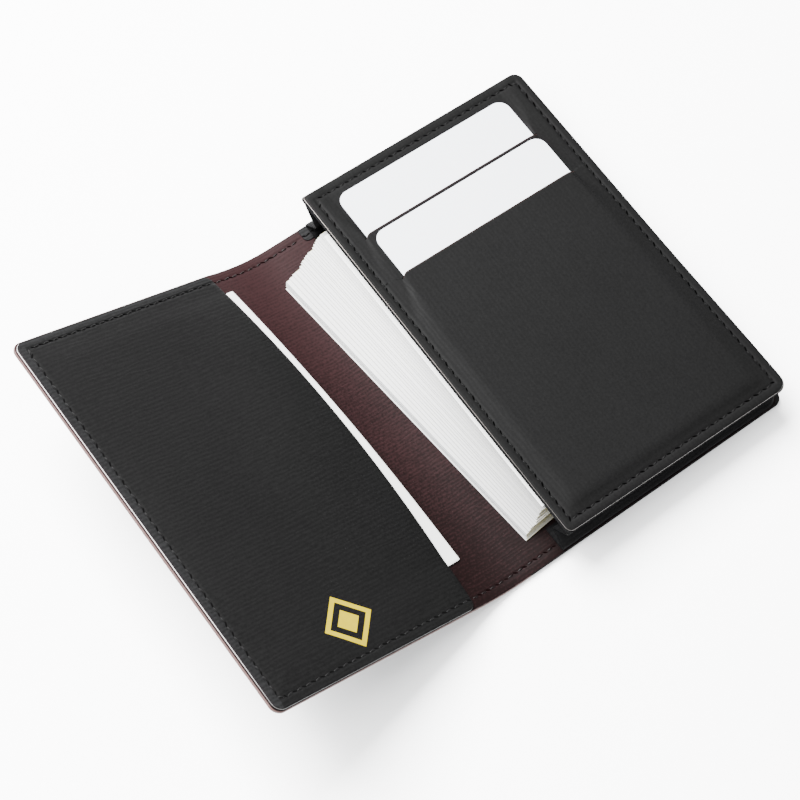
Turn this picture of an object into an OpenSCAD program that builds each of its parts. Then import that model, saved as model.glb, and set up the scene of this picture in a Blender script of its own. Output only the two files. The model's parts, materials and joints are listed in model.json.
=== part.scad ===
// Folding business card case: a gusseted card pocket, a spine strip and a front flap.
// Origin at the centre of the back half's underside, +Z up, +Y along the spine.
// The case lies open on its back with the flap half raised.

/* [Case] */
// Length of the case along the spine
case_len = 110.6; // [100:0.2:116]
// Width of the back half and of the pocket panel
case_w = 70; // [68:0.5:76]
// Thickness of a cover, its board and its lining together
cover_t = 1.5; // [1.4:0.1:1.8]
// Radius of the outer corners
corner_r = 3.5; // [2:0.5:6]
// Width of the spine strip between its two folds
spine_w = 17.2; // [16.5:0.1:20]

/* [Flap] */
// Length of the flap from its fold to its free edge
flap_w = 73.6; // [73:0.2:76]
// Angle of the raised flap above the table
flap_angle = 25.5; // [0:0.5:60]
// Distance from the fold to the middle of the flap pocket's mouth
mouth_gap = 8.3; // [6:0.1:12]
// How far the mouth bows towards the spine in the middle
mouth_bow = 3.7; // [1:0.1:5]

/* [Pocket panel] */
// Height of the panel's top at its mouth edge
mouth_h = 15.1; // [14.5:0.1:18]
// Height of the panel's top at its far edge
far_h = 11.4; // [11.2:0.1:12]
// How far the gusset folds inwards
gusset_depth = 4.5; // [3:0.1:4.5]

/* [Cards] */
// Length of a business card
card_len = 91; // [85:0.5:91]
// Width of a business card
card_w = 55; // [50:0.5:55]
// Number of business cards in each of the three groups
cards_per_group = 8; // [4:1:8]
// Length of a slot card
slot_card_len = 85.6; // [80:0.1:85.6]
// Width of a slot card
slot_card_w = 54; // [50:0.1:54]
// Corner radius of a slot card
slot_card_r = 3.2; // [2:0.1:4]

/* [Hidden] */
$fn = 48;

black = "#2b2c2c";
burgundy = "#4a2a2c";

half_len = case_len / 2;
half_w = case_w / 2;

// cover sandwich, from outside to inside
skin_t = 0.7;
board_t = 0.3;
lining_t = cover_t - skin_t - board_t;
hem_w = 1.2;
nose_r = cover_t / 2;
fold_gap = 0.1;

// fold lines
back_fold_x = -half_w - 1;
flap_fold_x = back_fold_x - spine_w;
fold_z = cover_t / 2;

// seams
seam_inset = 2.7;
seam_w = 0.35;
seam_t = 0.1;

// flap pocket, heights above the flap's middle plane
pocket_rim = 3.2;
pocket_t = 0.7;
flap_card_t = 0.35;
card_play = 0.05;
pocket_z = nose_r + flap_card_t + 2 * card_play;
pocket_top = pocket_z + pocket_t;
mouth_r = (half_len * half_len + mouth_bow * mouth_bow) / (2 * mouth_bow);

// pocket panel, heights above its own underside
panel_lining_t = 0.4;
backing_t = 0.2;
rim_t = 1.0;
slot_card_t = 0.5;
slot_skin_t = 0.35;
slot_play = 0.03;
roof_1 = rim_t + slot_card_t + 2 * slot_play + slot_skin_t;
roof_2 = roof_1 + slot_card_t + 2 * slot_play + slot_skin_t;
panel_z = far_h - rim_t;
panel_slope = asin((mouth_h - far_h) / case_w);
slit_1_y = 37.8;
slit_2_y = 24;
card_1_y = 51.7;
card_2_y = 37.7;
card_1_x = 7.3;
card_2_x = 8.4;
terrace_in = 4;
terrace_end = 3.3;

// business cards
sheet_t = 0.33;
groups = 3;
sheets = groups * cards_per_group;
first_corner = [-14.4, 43.2];
last_corner = [0.1, 47.1];
first_turn = 5.3;
last_turn = 2.8;

// lining set in from the edge of the cover skin
lining_in = 0.2;

// emblem on the flap: frame outside, frame inside, core, then its place
emblem = [10.4, 8.2, 4.6];
emblem_at = [-43.5, -43.8];
emblem_t = 0.05;

// gusset strip
gusset_t = 0.6;
gusset_in = 0.3;

// Rounded plate from x0 to x1 with its two corners at x1 rounded, x1 on either side of x0
module plate(x0, x1, half, r, t) {
    way = sign(x1 - x0);
    near = min(x0, x1 - way * r);
    span = abs(x1 - x0) - r;
    tip = min(x1 - way * r, x1);
    linear_extrude(t) union() {
        translate([near, -half]) square([span, 2 * half]);
        translate([tip, r - half]) square([r, 2 * (half - r)]);
        for (side = [-1, 1]) translate([x1 - way * r, side * (half - r)]) circle(r);
    }
}

// Seam thread along the free end and both long sides of a plate
module seam(x0, x1) {
    way = sign(x1 - x0);
    edge = x1 - way * seam_inset;
    half = half_len - seam_inset;
    difference() {
        plate(x0, edge, half, 1.2, seam_t);
        translate([0, 0, -1]) plate(x0 - way, edge - way * seam_w, half - seam_w, 1, seam_t + 2);
    }
}

// Places its children on the flap, whose fold is at x = 0 and whose middle plane is z = 0
module on_flap() {
    translate([flap_fold_x, 0, fold_z]) rotate([0, flap_angle, 0]) children();
}

// Places its children on the pocket panel, whose far edge is at x = 0 and underside at z = 0
module on_panel() {
    translate([half_w, 0, panel_z]) rotate([0, panel_slope, 0]) children();
}

// Card blank lying with one corner at the origin, its length towards -Y and its width towards +X
module blank(length, width, t) {
    translate([0, -length, 0]) cube([width, length, t]);
}

// Cover skin with a hem turned up around the board
module cover_skin(x0, x1) {
    difference() {
        plate(x0, x1, half_len, corner_r, skin_t + board_t);
        translate([0, 0, skin_t]) board_shape(x0, x1, 2 * board_t);
    }
}

// Stiffening board inside the hem
module board_shape(x0, x1, t) {
    way = sign(x1 - x0);
    plate(x0 + way * hem_w, x1 - way * hem_w, half_len - hem_w, corner_r - hem_w, t);
}

// Lining sheet, a little smaller than the skin
module lining_shape(x0, x1) {
    way = sign(x1 - x0);
    plate(x0, x1 - way * lining_in, half_len - lining_in, corner_r - lining_in, lining_t);
}

back_x0 = back_fold_x + nose_r + fold_gap;
flap_x0 = -nose_r - fold_gap;

module back_cover() {
    color(black) difference() {
        cover_skin(back_x0, half_w);
        seam(back_x0, half_w);
    }
}

module back_board() {
    color("tan") translate([0, 0, skin_t]) board_shape(back_x0, half_w, board_t);
}

module back_lining() {
    color(burgundy) translate([0, 0, skin_t + board_t]) lining_shape(back_x0, half_w);
}

module back_thread() {
    color("black") seam(back_x0, half_w);
}

// Cross-section of the spine strip, x along the strip and y up, with a round nose on each fold
module spine_section() {
    translate([flap_fold_x, 0]) square([spine_w, cover_t]);
    for (x = [flap_fold_x, back_fold_x]) translate([x, fold_z]) circle(nose_r);
}

// Slice of the spine strip between two heights
module spine_slice(low, high) {
    rotate([90, 0, 0]) linear_extrude(case_len, center = true) intersection() {
        spine_section();
        translate([flap_fold_x - nose_r, low]) square([spine_w + cover_t, high - low]);
    }
}

module spine_seams() {
    for (side = [-1, 1])
        translate([flap_fold_x, side * (half_len - seam_inset) - seam_w / 2, cover_t - seam_t])
            cube([spine_w, seam_w, seam_t]);
}

module spine_cover() {
    color(black) spine_slice(0, skin_t + board_t);
}

module spine_lining() {
    color(burgundy) difference() {
        spine_slice(skin_t + board_t, cover_t);
        spine_seams();
    }
}

module spine_thread() {
    color("#5a3236") spine_seams();
}

module front_cover() {
    color(black) on_flap() translate([0, 0, -nose_r]) cover_skin(flap_x0, -flap_w);
}

module front_board() {
    color("tan") on_flap() translate([0, 0, skin_t - nose_r]) board_shape(flap_x0, -flap_w, board_t);
}

module front_lining() {
    color(burgundy) on_flap() translate([0, 0, nose_r - lining_t]) lining_shape(flap_x0, -flap_w);
}

// Outline that bows the pocket's mouth towards the spine
module mouth_cut() {
    translate([-mouth_gap - mouth_r, 0, -1]) cylinder(r = mouth_r, h = 10, $fn = 180);
}

module flap_pocket() {
    rim_x = pocket_rim - flap_w;
    color(black) on_flap() difference() {
        intersection() {
            translate([0, 0, nose_r]) plate(0, 0.3 - flap_w, half_len - 0.3, corner_r - 0.3, pocket_top - nose_r);
            mouth_cut();
        }
        translate([rim_x, pocket_rim - half_len, nose_r - 1])
            cube([flap_w, 2 * (half_len - pocket_rim), pocket_z - nose_r + 1]);
        flap_seam();
    }
}

module flap_seam() {
    intersection() {
        translate([0, 0, pocket_top - seam_t]) seam(0, -flap_w);
        mouth_cut();
    }
}

module flap_thread() {
    color("black") on_flap() flap_seam();
}

// Plain lozenge in a lozenge frame
module foil_emblem() {
    color("#d9b84f") on_flap() translate([emblem_at.x, emblem_at.y, pocket_top]) rotate([0, 0, 45])
        linear_extrude(emblem_t) {
            difference() {
                square(emblem[0], center = true);
                square(emblem[1], center = true);
            }
            square(emblem[2], center = true);
        }
}

module flap_card() {
    turn = 2.75;
    color("white") on_flap() translate([-9.8, 48.6, nose_r + card_play]) rotate([0, 0, turn])
        mirror([1, 0, 0]) blank(card_len, card_w, flap_card_t);
}

// Card in a slit of the panel, given its panel x, its top y and the height it lies at
module slot_blank(x, y, z) {
    r = slot_card_r;
    translate([x - case_w, y - slot_card_len, z]) linear_extrude(slot_card_t) union() {
        translate([r, 0]) square([slot_card_w - 2 * r, slot_card_len]);
        translate([0, r]) square([slot_card_w, slot_card_len - 2 * r]);
        for (cx = [r, slot_card_w - r], cy = [r, slot_card_len - r]) translate([cx, cy]) circle(r);
    }
}

// Room for a card behind a slit, open at the slit
module slot_room(x, y, slit_y, floor_z) {
    play = 0.3;
    low = y - slot_card_len - play;
    translate([x - case_w - play, low, floor_z])
        cube([slot_card_w + 2 * play, slit_y - low + 1, slot_card_t + 2 * slot_play]);
}

// Step of the panel face that rises over a card, up to its slit
module terrace(slit_y, low, high) {
    translate([terrace_in - case_w, terrace_end - half_len, low])
        cube([case_w - 2 * terrace_in, half_len - terrace_end + slit_y, high - low]);
}

module panel_face() {
    color(black) on_panel() difference() {
        union() {
            translate([0, 0, panel_lining_t]) plate(-case_w, 0, half_len, corner_r, rim_t - panel_lining_t);
            terrace(slit_1_y, rim_t, roof_1);
            terrace(slit_2_y, roof_1, roof_2);
        }
        translate([0, 0, panel_lining_t - 1]) backing_shape(backing_t + 1);
        slot_room(card_1_x, card_1_y, slit_1_y, rim_t);
        slot_room(card_2_x, card_2_y, slit_2_y, roof_1);
        panel_seam();
    }
}

// Cloth sheet behind the slits
module backing_shape(t) {
    translate([terrace_in - case_w, terrace_end - half_len, 0])
        cube([case_w - 2 * terrace_in, 2 * (half_len - terrace_end), t]);
}

// Closed seam all round the panel
module panel_seam() {
    half = half_len - seam_inset;
    translate([0, 0, rim_t - seam_t]) difference() {
        plate(seam_inset - case_w, -seam_inset, half, 1.2, seam_t);
        translate([0, 0, -1])
            plate(seam_inset + seam_w - case_w, -seam_inset - seam_w, half - seam_w, 1, seam_t + 2);
    }
}

module panel_lining() {
    color(black) on_panel() plate(lining_in - case_w, -lining_in, half_len - lining_in,
        corner_r - lining_in, panel_lining_t);
}

module slot_backing() {
    color("#303030") on_panel() translate([0, 0, panel_lining_t]) backing_shape(backing_t);
}

module panel_thread() {
    color("black") on_panel() panel_seam();
}

module slot_card_upper() {
    color("white") on_panel() slot_blank(card_1_x, card_1_y, rim_t + slot_play);
}

module slot_card_lower() {
    color("white") on_panel() slot_blank(card_2_x, card_2_y, roof_1 + slot_play);
}

// One group of business cards, fanned so that each card lies further in than the one below
module card_group(group) {
    color("white") for (i = [group * cards_per_group : (group + 1) * cards_per_group - 1]) {
        part = i / (sheets - 1);
        corner = first_corner + part * (last_corner - first_corner);
        translate([corner.x - half_w, corner.y, cover_t + card_play + i * sheet_t])
            rotate([0, 0, first_turn + part * (last_turn - first_turn)])
                blank(card_len, card_w, sheet_t - 0.01);
    }
}

module business_cards_bottom() { card_group(0); }
module business_cards_middle() { card_group(1); }
module business_cards_top() { card_group(2); }

// Height of the panel's underside above a point of the back
function underside(x) = panel_z + (half_w - x) * tan(panel_slope);

// Points of the folded strip's section at an edge point, leaning in along inward
function gusset_section(edge, inward) =
    let (top = underside(edge.x + gusset_in * inward.x) - 0.02, low = cover_t, mid = (top + low) / 2)
    let (outer = gusset_in, ridge = gusset_in + gusset_depth)
    [for (p = [[outer, low], [ridge, mid], [outer, top],
               [outer + gusset_t, top], [ridge + gusset_t, mid], [outer + gusset_t, low]])
        [edge.x + p[0] * inward.x, edge.y + p[0] * inward.y, p[1]]];

module gusset() {
    mouth_x = 0.6 - half_w;
    stations = [
        gusset_section([mouth_x, -half_len], [0, 1]),
        gusset_section([half_w, -half_len], [-1, 1]),
        gusset_section([half_w, half_len], [-1, -1]),
        gusset_section([mouth_x, half_len], [0, -1])
    ];
    n = 6;
    sides = [for (s = [0 : 2], i = [0 : n - 1])
        [s * n + i, s * n + (i + 1) % n, (s + 1) * n + (i + 1) % n, (s + 1) * n + i]];
    caps = [[5, 4, 1, 0], [4, 3, 2, 1], [18, 19, 22, 23], [19, 20, 21, 22]];
    color(black) polyhedron([for (s = stations) each s], concat(sides, caps));
}

back_cover();
back_board();
back_lining();
gusset();
back_thread();
spine_cover();
spine_lining();
spine_thread();
front_cover();
front_board();
front_lining();
flap_pocket();
flap_thread();
foil_emblem();
flap_card();
panel_face();
panel_lining();
slot_backing();
panel_thread();
slot_card_upper();
slot_card_lower();
business_cards_bottom();
business_cards_middle();
business_cards_top();
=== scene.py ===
"""Looks of the folding business card case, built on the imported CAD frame. Sizes in here are in mm."""
import json
import math
import random

import bmesh
import bpy
import numpy as np
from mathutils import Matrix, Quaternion, Vector

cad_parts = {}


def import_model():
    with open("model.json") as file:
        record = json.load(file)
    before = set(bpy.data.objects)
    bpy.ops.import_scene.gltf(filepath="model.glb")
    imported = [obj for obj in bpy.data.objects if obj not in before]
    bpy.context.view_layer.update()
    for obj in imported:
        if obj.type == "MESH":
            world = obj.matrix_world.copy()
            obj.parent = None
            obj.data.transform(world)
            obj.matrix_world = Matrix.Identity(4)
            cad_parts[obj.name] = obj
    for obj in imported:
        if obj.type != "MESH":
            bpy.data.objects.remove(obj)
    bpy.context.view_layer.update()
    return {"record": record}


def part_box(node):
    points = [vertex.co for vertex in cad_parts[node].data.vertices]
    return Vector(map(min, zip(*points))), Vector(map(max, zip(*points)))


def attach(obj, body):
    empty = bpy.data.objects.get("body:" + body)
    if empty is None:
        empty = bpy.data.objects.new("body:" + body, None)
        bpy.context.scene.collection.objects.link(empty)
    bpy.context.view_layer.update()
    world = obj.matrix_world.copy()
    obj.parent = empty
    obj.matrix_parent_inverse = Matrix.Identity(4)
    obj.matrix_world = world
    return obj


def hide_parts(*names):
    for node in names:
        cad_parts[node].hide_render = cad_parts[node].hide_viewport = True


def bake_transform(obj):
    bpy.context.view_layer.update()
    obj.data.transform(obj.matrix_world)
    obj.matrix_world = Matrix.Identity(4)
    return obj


# camera
CAM_TARGET = (-43.1, 1.4, 0.0)
CAM_AZIMUTH = 40.2
CAM_ELEVATION = 66.7
CAM_ROLL = 4.5
CAM_DISTANCE = 557.9
CAM_LENS = 99.25

# light
SKY = 2.0
KEY_POWER = 165.0
KEY_FROM = (-140, 750, 960)
KEY_SIZE = 800
BACK_POWER = 10.0
BACK_FROM = (-420, 120, 560)
BACK_SIZE = 380
FLOOR_REACH = 3000
FLOOR_Z = -0.05

# sheets, mm
LINING_T = 0.5
EDGE_R = 0.22
FOLD_R = 31.0
CORNER_R = 2.7
LIP_S = 9.25
LIP_BOW = 0.00068
LIP_MID = -24.0
ARCH = 2.05
POCKET_LOW = 1.18
POCKET_SKIN = 0.55
PANEL_LINING = 0.4
PANEL_RIM = 1.0
PANEL_SKIN = 0.09
PANEL_DIP = 0.25
PANEL_OUT = 1.35
PANEL_FAR_OUT = 0.5
COVER_FAR_OUT = 1.3
COVER_RIM_OUT = 0.4
SLIT_CURL = (1.1, 0.3)
SLIT_1 = 38.35
SLIT_2 = 24.0
SLIT_REACH = 0.9
SLIT_PLAY = 0.03
EMBLEM_S = 43.5
FOIL_UP = 0.035

# gusset, mm
GUSSET_IN = 0.45
GUSSET_DEEP = 4.5
GUSSET_T = 0.5
GUSSET_WIDE = 1.42
RIDGE = 0.47
FLANGE = 5.2
TAB = 2.1

# cards, mm
CARD_L = 91.0
CARD_W = 55.0
STOCK = 0.32
LAY = 0.33
PLASTIC_L = 85.6
PLASTIC_W = 54.0
PLASTIC_R = 3.2
CARD_T = 0.27
NOTE_LOW = 0.8
NOTE_HIGH = 1.15

# seams, mm
SEAM_IN = 2.7
SEAM_R = 1.4
PITCH = 2.8
STITCH = 1.8
THREAD_R = 0.2
HOLE_L = 0.68
HOLE_W = 0.21
HOLE_TURN = -28

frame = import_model()
record = frame["record"]
rng = random.Random(7)


# ---------- places taken from the frame, mm ----------
def box_mm(node):
    lo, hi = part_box(node)
    return lo * 1000, hi * 1000


joints = {j["name"]: j for j in record["behaviour"]["joints"]}
back_hi = box_mm("back_cover")[1]
HALF = back_hi.y
FAR = back_hi.x
BACK_FOLD = joints["spine_fold"]["pos_m"][0] * 1000
FLAP_FOLD = joints["flap_fold"]["pos_m"][0] * 1000
FOLD_Z = joints["flap_fold"]["pos_m"][2] * 1000
MOUTH = -FAR
TILT = math.radians(-joints["flap_fold"]["range_deg"][0])
front_lo = box_mm("front_cover")[0]
FLAP_W = (FLAP_FOLD - front_lo.x - FOLD_Z * math.sin(TILT)) / math.cos(TILT)
lining_lo, lining_hi = box_mm("panel_lining")
PANEL_W = FAR - MOUTH
PANEL_Z = lining_lo.z
SLOPE = math.asin((lining_hi.z - lining_lo.z - PANEL_LINING) / PANEL_W)
SPLIT = (BACK_FOLD + FLAP_FOLD) / 2
ARC = FOLD_R * TILT / 2
TANGENT = FOLD_R * math.tan(TILT / 2)


# ---------- maps from developed sheets to the folded case ----------
def fold(u, v, h):
    """Cover and lining: u from the flap fold, + towards the back half; h from the middle plane."""
    u = np.asarray(u, float)
    phi = np.clip((ARC - u) / FOLD_R, 0, TILT)
    x = FLAP_FOLD + TANGENT + np.maximum(u - ARC, 0)
    z = FOLD_Z + h
    arc_x = FLAP_FOLD + TANGENT - (FOLD_R - h) * np.sin(phi)
    arc_z = FOLD_Z + FOLD_R - (FOLD_R - h) * np.cos(phi)
    past = np.maximum(-ARC - u, 0)
    arc_x = arc_x - past * math.cos(TILT)
    arc_z = arc_z + past * math.sin(TILT)
    flat = u >= ARC
    return np.stack([np.where(flat, x, arc_x), v + 0 * u, np.where(flat, z, arc_z)], -1)


def on_panel(u, v, h):
    """Pocket panel: u from its far edge (negative towards the mouth), h above its underside."""
    x = FAR + u * math.cos(SLOPE) + h * math.sin(SLOPE)
    z = PANEL_Z - u * math.sin(SLOPE) + h * math.cos(SLOPE)
    return np.stack([x, v + 0 * u, z], -1)


def u_of_x(x):
    """Developed u of a point on the flat side of the flap fold."""
    return x - FLAP_FOLD - TANGENT + ARC


def u_of_s(s):
    """Developed u of a point at distance s up the flap from its fold."""
    return TANGENT - ARC - s


def lip_s(v):
    """How far up the flap the pocket's mouth edge runs."""
    return LIP_S + LIP_BOW * (v - LIP_MID) ** 2


# ---------- mesh tools ----------
def smooth(t):
    t = np.clip(t, 0, 1)
    return t * t * (3 - 2 * t)


def depth_in(u, v, rect, r):
    """How far a point lies inside a rounded rectangle (u0, u1, v0, v1)."""
    u0, u1, v0, v1 = rect
    qu = np.abs(u - (u0 + u1) / 2) - ((u1 - u0) / 2 - r)
    qv = np.abs(v - (v0 + v1) / 2) - ((v1 - v0) / 2 - r)
    outside = np.hypot(np.maximum(qu, 0), np.maximum(qv, 0))
    return r - outside - np.minimum(np.maximum(qu, qv), 0)


def groove(d, depth, width=0.42):
    """How far a seam pulls the leather in, at a distance d from its edge."""
    return depth * np.exp(-((d - SEAM_IN) / width) ** 2)


def fall(d, depth, reach):
    """How far the leather falls off beside its edge."""
    return depth * smooth(1 - d / reach)


def lines(lo, hi, near=5.0, fine=0.3, coarse=1.4, cuts=(), open_lo=False, open_hi=False):
    """Grid lines from lo to hi, close together by the edges and by each cut, which gets two lines."""
    out = [lo]
    marks = sorted(cuts) + [hi]
    while out[-1] < hi - 1e-9:
        t = out[-1]
        close = (t - lo < near and not open_lo) or (hi - t < near and not open_hi)
        close = close or any(abs(t - c) < 2.0 for c in cuts)
        step = fine if close else coarse
        stop = next(m for m in marks if m > t + 1e-9)
        if stop - t < step * 1.5:
            out.append(stop)
            if stop in cuts:
                out.append(stop)
        else:
            out.append(t + step)
    return np.array(out)


def mesh_object(name, points, faces, mats, flat=None, which=None):
    mesh = bpy.data.meshes.new(name)
    mesh.from_pydata((np.asarray(points) / 1000).tolist(), [], faces)
    mesh.polygons.foreach_set("use_smooth", [True] * len(mesh.polygons))
    if which is not None:
        mesh.polygons.foreach_set("material_index", which)
    if flat is not None:
        data = mesh.attributes.new("flat", "FLOAT_VECTOR", "POINT").data
        data.foreach_set("vector", (np.asarray(flat) / 1000).ravel())
    for mat in mats:
        mesh.materials.append(mat)
    mesh.update()
    obj = bpy.data.objects.new(name, mesh)
    bpy.context.scene.collection.objects.link(obj)
    return obj


def sheet(name, us, vs, radii, top, bottom, place, mats, bulge=EDGE_R, open_side=None,
          edge=(0,) * 8, warp=None, paint=None):
    """Leather sheet with rounded corners and rounded edges.

    us, vs: grid lines; a line given twice in vs is a cut. radii: corners (u0v0, u0v1, u1v0, u1v1).
    top, bottom: heights as functions of u, v. edge: material index of each band round the edge, top first.
    paint: material index of the top as a function of u, v."""
    nu, nv = len(us), len(vs)
    u, v = np.meshgrid(us, vs, indexing="ij")
    side = np.zeros(nv)
    for j in range(nv - 1):
        if vs[j] == vs[j + 1]:
            side[j], side[j + 1] = -1e-3, 1e-3
    u0, u1, v0, v1 = us[0], us[-1], vs[0], vs[-1]
    out_u, out_v = np.zeros_like(u), np.zeros_like(v)
    for k, r in enumerate(radii):
        if r <= 0:
            continue
        su, sv = (-1, 1)[k // 2], (-1, 1)[k % 2]
        cu = u0 + r if su < 0 else u1 - r
        cv = v0 + r if sv < 0 else v1 - r
        p, q = su * (u - cu) / r, sv * (v - cv) / r
        m = (p > 0) & (q > 0)
        p, q = np.where(m, p, 0), np.where(m, q, 0)
        pp, qq = p * np.sqrt(1 - q * q / 2), q * np.sqrt(1 - p * p / 2)
        u, v = np.where(m, cu + su * r * pp, u), np.where(m, cv + sv * r * qq, v)
        out_u, out_v = np.where(m, su * pp, out_u), np.where(m, sv * qq, out_v)
    seen = v + side[None, :]
    high, low = top(u, seen), bottom(u, seen)

    ring = []
    walk = {"v0": [(i, 0) for i in range(nu)], "u1": [(nu - 1, j) for j in range(nv)],
            "v1": [(i, nv - 1) for i in reversed(range(nu))], "u0": [(0, j) for j in reversed(range(nv))]}
    order = {None: ["v0", "u1", "v1", "u0"], "u0": ["v0", "u1", "v1"], "u1": ["v1", "u0", "v0"]}[open_side]
    normal = {"v0": (0, -1), "u1": (1, 0), "v1": (0, 1), "u0": (-1, 0)}
    for s in order:
        for ij in walk[s]:
            n = (out_u[ij], out_v[ij]) if math.hypot(out_u[ij], out_v[ij]) > 0.5 else normal[s]
            if ring and ring[-1][0] == ij:
                continue
            ring.append((ij, n))
    if open_side is None:
        ring.pop()
    index = np.arange(nu * nv).reshape(nu, nv)
    pts_u, pts_v, pts_h = [u.ravel(), u.ravel()], [v.ravel(), v.ravel()], [high.ravel(), low.ravel()]
    count = 2 * nu * nv
    bands = len(edge)
    rows = [[index[ij] for ij, n in ring]]
    ru = np.array([u[ij] for ij, n in ring])
    rv = np.array([v[ij] for ij, n in ring])
    rh = np.array([high[ij] for ij, n in ring])
    rl = np.array([low[ij] for ij, n in ring])
    nrm = np.array([n for ij, n in ring])
    for k in range(1, bands):
        a = math.pi / 2 - math.pi * k / bands
        off = bulge * abs(math.cos(a)) ** 0.6
        pts_u.append(ru + nrm[:, 0] * off)
        pts_v.append(rv + nrm[:, 1] * off)
        pts_h.append((rh + rl) / 2 + (rh - rl) / 2 * math.sin(a))
        rows.append(list(range(count, count + len(ring))))
        count += len(ring)
    rows.append([index[ij] + nu * nv for ij, n in ring])

    faces, which = [], []
    base = nu * nv
    for i in range(nu - 1):
        for j in range(nv - 1):
            a, b, c, d = index[i, j], index[i + 1, j], index[i + 1, j + 1], index[i, j + 1]
            if vs[j] == vs[j + 1]:
                if abs(high[i, j] - high[i, j + 1]) + abs(high[i + 1, j] - high[i + 1, j + 1]) > 1e-6:
                    faces += [(a, b, b + base, a + base), (c, d, d + base, c + base)]
                    which += [len(mats) - 1] * 2
                continue
            faces += [(a, b, c, d), (a + base, d + base, c + base, b + base)]
            lip = j + 2 < nv and vs[j + 1] == vs[j + 2] and abs(high[i, j + 1] - high[i, j + 2]) > 0.05
            face = paint(u[i, j], v[i, j]) if paint else 0
            which += [len(mats) - 1 if lip else face, 0]
    m = len(ring)
    for k in range(bands):
        for i in range(m if open_side is None else m - 1):
            j = (i + 1) % m
            faces.append((rows[k][i], rows[k + 1][i], rows[k + 1][j], rows[k][j]))
            which.append(edge[k])
    fu, fv, fh = np.concatenate(pts_u), np.concatenate(pts_v), np.concatenate(pts_h)
    du, dv = warp(fu, fv) if warp else (0, 0)
    points = place(fu + du, fv + dv, fh)
    obj = mesh_object(name, points, [tuple(int(x) for x in f) for f in faces], mats,
                      np.stack([fu + du, fv + dv, fh], -1), which)
    tidy(obj)
    return obj


def tidy(obj):
    bm = bmesh.new()
    bm.from_mesh(obj.data)
    bmesh.ops.remove_doubles(bm, verts=bm.verts, dist=2e-7)
    bmesh.ops.dissolve_degenerate(bm, edges=bm.edges, dist=1e-7)
    bm.to_mesh(obj.data)
    bm.free()


def seam_path(rect, r, sides, step=0.1):
    """Points along a rounded rectangle; sides is a run such as ("v0", "u1", "v1")."""
    u0, u1, v0, v1 = rect
    corner = {("v0", "u1"): (u1 - r, v0 + r, -90), ("u1", "v1"): (u1 - r, v1 - r, 0),
              ("v1", "u0"): (u0 + r, v1 - r, 90), ("u0", "v0"): (u0 + r, v0 + r, 180)}
    ends = {"v0": ((u0, v0), (u1, v0)), "u1": ((u1, v0), (u1, v1)),
            "v1": ((u1, v1), (u0, v1)), "u0": ((u0, v1), (u0, v0))}
    pts = []
    for k, s in enumerate(sides):
        a, b = np.array(ends[s][0]), np.array(ends[s][1])
        d = (b - a) / np.linalg.norm(b - a)
        if k > 0:
            a = a + d * r
        if k < len(sides) - 1:
            b = b - d * r
        n = max(2, int(np.linalg.norm(b - a) / step))
        pts += [a + (b - a) * t for t in np.linspace(0, 1, n)]
        if k < len(sides) - 1:
            cu, cv, start = corner[(s, sides[k + 1])]
            for t in np.linspace(0, 90, max(4, int(r * 1.6 / step))):
                ang = math.radians(start + t)
                pts.append(np.array([cu + r * math.cos(ang), cv + r * math.sin(ang)]))
    return np.array(pts)


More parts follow.
